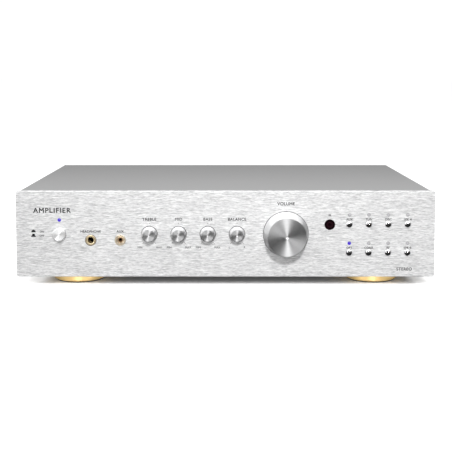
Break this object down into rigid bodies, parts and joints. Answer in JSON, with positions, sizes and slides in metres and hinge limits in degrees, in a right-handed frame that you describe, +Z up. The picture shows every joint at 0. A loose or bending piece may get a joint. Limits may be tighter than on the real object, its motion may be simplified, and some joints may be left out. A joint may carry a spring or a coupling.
{
  "type": "integrated amplifier",
  "caption": "Low, wide stereo amplifier with a brushed metal fascia, a large volume knob, small tone knobs, domed selector buttons, front sockets and round feet.",
  "frame": {"origin": "on the table, under the middle of the amplifier's bounding box", "axes": "+X to the right as seen from the front, +Y towards the back, +Z up"},
  "size_m": [0.42, 0.315, 0.096],
  "materials": {
    "fascia": "horizontally brushed, clear anodised",
    "knob": "spun",
    "chrome": "polished",
    "cover_paint": "satin powder coat",
    "rear_paint": "satin powder coat",
    "steel": "zinc plated",
    "dark_steel": "black oxide",
    "gold": "gold plated",
    "pad_rubber": "matt",
    "window": "dark infrared window, glossy",
    "clear_light": "clear",
    "lit_light": "clear, lit blue",
    "black_plastic": "moulded",
    "red_cap": "moulded, clear red",
    "black_cap": "moulded, clear black",
    "board": "lacquered",
    "capacitor": "sleeved",
    "black_aluminium": "black anodised",
    "relay": "moulded",
    "transformer": "wound and taped",
    "cable": "flexible"
  },
  "bodies": {
    "chassis": {"front_panel": "fascia", "front_frame": "steel", "base_tray": "steel", "rear_panel": "rear_paint", "top_cover": "cover_paint", "cover_screws": "dark_steel", "inner_fasteners": "steel", "feet": "gold", "foot_pads": "pad_rubber", "front_jacks": "black_plastic", "jack_rings": "gold", "lights_on": "lit_light", "lights_off": "clear_light", "remote_window": "window", "control_board": "board", "tact_switches": "black_plastic", "potentiometers": "steel", "power_switch": "black_plastic", "main_board": "board", "reservoir_capacitors": "capacitor", "heatsink": "black_aluminium", "output_transistors": "black_plastic", "speaker_relays": "relay", "transformer": "transformer", "internal_cables": "cable", "line_socket_block": "black_plastic", "socket_sleeves": "gold", "optical_socket": "black_plastic", "terminal_plates": "black_plastic", "terminal_posts": "gold", "mains_inlet": "black_plastic", "inlet_pins": "steel"},
    "volume_control": {"volume_knob": "knob", "volume_shaft": "steel"},
    "treble_control": {"treble_knob": "knob", "treble_shaft": "steel"},
    "mid_control": {"mid_knob": "knob", "mid_shaft": "steel"},
    "bass_control": {"bass_knob": "knob", "bass_shaft": "steel"},
    "balance_control": {"balance_knob": "knob", "balance_shaft": "steel"},
    "power_button_body": {"power_button": "chrome"},
    "aux_button_body": {"aux_button": "chrome"},
    "tuner_button_body": {"tuner_button": "chrome"},
    "disc_button_body": {"disc_button": "chrome"},
    "speaker_a_button_body": {"speaker_a_button": "chrome"},
    "optical_button_body": {"optical_button": "chrome"},
    "coaxial_button_body": {"coaxial_button": "chrome"},
    "wireless_button_body": {"wireless_button": "chrome"},
    "speaker_b_button_body": {"speaker_b_button": "chrome"},
    "a_left_plus_cap_body": {"a_left_plus_cap": "red_cap"},
    "a_left_minus_cap_body": {"a_left_minus_cap": "black_cap"},
    "a_right_plus_cap_body": {"a_right_plus_cap": "red_cap"},
    "a_right_minus_cap_body": {"a_right_minus_cap": "black_cap"},
    "b_left_plus_cap_body": {"b_left_plus_cap": "red_cap"},
    "b_left_minus_cap_body": {"b_left_minus_cap": "black_cap"},
    "b_right_plus_cap_body": {"b_right_plus_cap": "red_cap"},
    "b_right_minus_cap_body": {"b_right_minus_cap": "black_cap"},
    "shutter": {"optical_shutter": "black_plastic"}
  },
  "joints": [
    {"name": "volume_turn", "type": "hinge", "parent": "chassis", "child": "volume_control", "pos_m": [0.0607, -0.1365, 0.05275], "axis": [0, 1, 0], "range_deg": [-150, 150]},
    {"name": "treble_turn", "type": "hinge", "parent": "chassis", "child": "treble_control", "pos_m": [-0.0763, -0.1365, 0.05275], "axis": [0, 1, 0], "range_deg": [-150, 150]},
    {"name": "mid_turn", "type": "hinge", "parent": "chassis", "child": "mid_control", "pos_m": [-0.047, -0.1365, 0.05275], "axis": [0, 1, 0], "range_deg": [-150, 150]},
    {"name": "bass_turn", "type": "hinge", "parent": "chassis", "child": "bass_control", "pos_m": [-0.0177, -0.1365, 0.05275], "axis": [0, 1, 0], "range_deg": [-150, 150]},
    {"name": "balance_turn", "type": "hinge", "parent": "chassis", "child": "balance_control", "pos_m": [0.0116, -0.1365, 0.05275], "axis": [0, 1, 0], "range_deg": [-150, 150]},
    {"name": "power_press", "type": "slide", "parent": "chassis", "child": "power_button_body", "axis": [0, -1, 0], "range_m": [-0.001, 0.003]},
    {"name": "aux_press", "type": "slide", "parent": "chassis", "child": "aux_button_body", "axis": [0, 1, 0], "range_m": [0, 0.0005], "stiffness_N_per_m": 800},
    {"name": "tuner_press", "type": "slide", "parent": "chassis", "child": "tuner_button_body", "axis": [0, 1, 0], "range_m": [0, 0.0005], "stiffness_N_per_m": 800},
    {"name": "disc_press", "type": "slide", "parent": "chassis", "child": "disc_button_body", "axis": [0, 1, 0], "range_m": [0, 0.0005], "stiffness_N_per_m": 800},
    {"name": "speaker_a_press", "type": "slide", "parent": "chassis", "child": "speaker_a_button_body", "axis": [0, 1, 0], "range_m": [0, 0.0005], "stiffness_N_per_m": 800},
    {"name": "optical_press", "type": "slide", "parent": "chassis", "child": "optical_button_body", "axis": [0, 1, 0], "range_m": [0, 0.0005], "stiffness_N_per_m": 800},
    {"name": "coaxial_press", "type": "slide", "parent": "chassis", "child": "coaxial_button_body", "axis": [0, 1, 0], "range_m": [0, 0.0005], "stiffness_N_per_m": 800},
    {"name": "wireless_press", "type": "slide", "parent": "chassis", "child": "wireless_button_body", "axis": [0, 1, 0], "range_m": [0, 0.0005], "stiffness_N_per_m": 800},
    {"name": "speaker_b_press", "type": "slide", "parent": "chassis", "child": "speaker_b_button_body", "axis": [0, 1, 0], "range_m": [0, 0.0005], "stiffness_N_per_m": 800},
    {"name": "a_left_plus_unscrew", "type": "hinge", "parent": "chassis", "child": "a_left_plus_cap_body", "pos_m": [0.0395, 0.148, 0.064], "axis": [0, 1, 0], "range_deg": [0, 900]},
    {"name": "a_left_minus_unscrew", "type": "hinge", "parent": "chassis", "child": "a_left_minus_cap_body", "pos_m": [0.0395, 0.148, 0.038], "axis": [0, 1, 0], "range_deg": [0, 900]},
    {"name": "a_right_plus_unscrew", "type": "hinge", "parent": "chassis", "child": "a_right_plus_cap_body", "pos_m": [0.0205, 0.148, 0.064], "axis": [0, 1, 0], "range_deg": [0, 900]},
    {"name": "a_right_minus_unscrew", "type": "hinge", "parent": "chassis", "child": "a_right_minus_cap_body", "pos_m": [0.0205, 0.148, 0.038], "axis": [0, 1, 0], "range_deg": [0, 900]},
    {"name": "b_left_plus_unscrew", "type": "hinge", "parent": "chassis", "child": "b_left_plus_cap_body", "pos_m": [-0.0205, 0.148, 0.064], "axis": [0, 1, 0], "range_deg": [0, 900]},
    {"name": "b_left_minus_unscrew", "type": "hinge", "parent": "chassis", "child": "b_left_minus_cap_body", "pos_m": [-0.0205, 0.148, 0.038], "axis": [0, 1, 0], "range_deg": [0, 900]},
    {"name": "b_right_plus_unscrew", "type": "hinge", "parent": "chassis", "child": "b_right_plus_cap_body", "pos_m": [-0.0395, 0.148, 0.064], "axis": [0, 1, 0], "range_deg": [0, 900]},
    {"name": "b_right_minus_unscrew", "type": "hinge", "parent": "chassis", "child": "b_right_minus_cap_body", "pos_m": [-0.0395, 0.148, 0.038], "axis": [0, 1, 0], "range_deg": [0, 900]},
    {"name": "shutter_swing", "type": "hinge", "parent": "chassis", "child": "shutter", "pos_m": [0.105, 0.1338, 0.0636], "axis": [-1, 0, 0], "range_deg": [0, 80], "stiffness_Nm_per_rad": 0.0004, "springref_deg": -28.65}
  ]
}
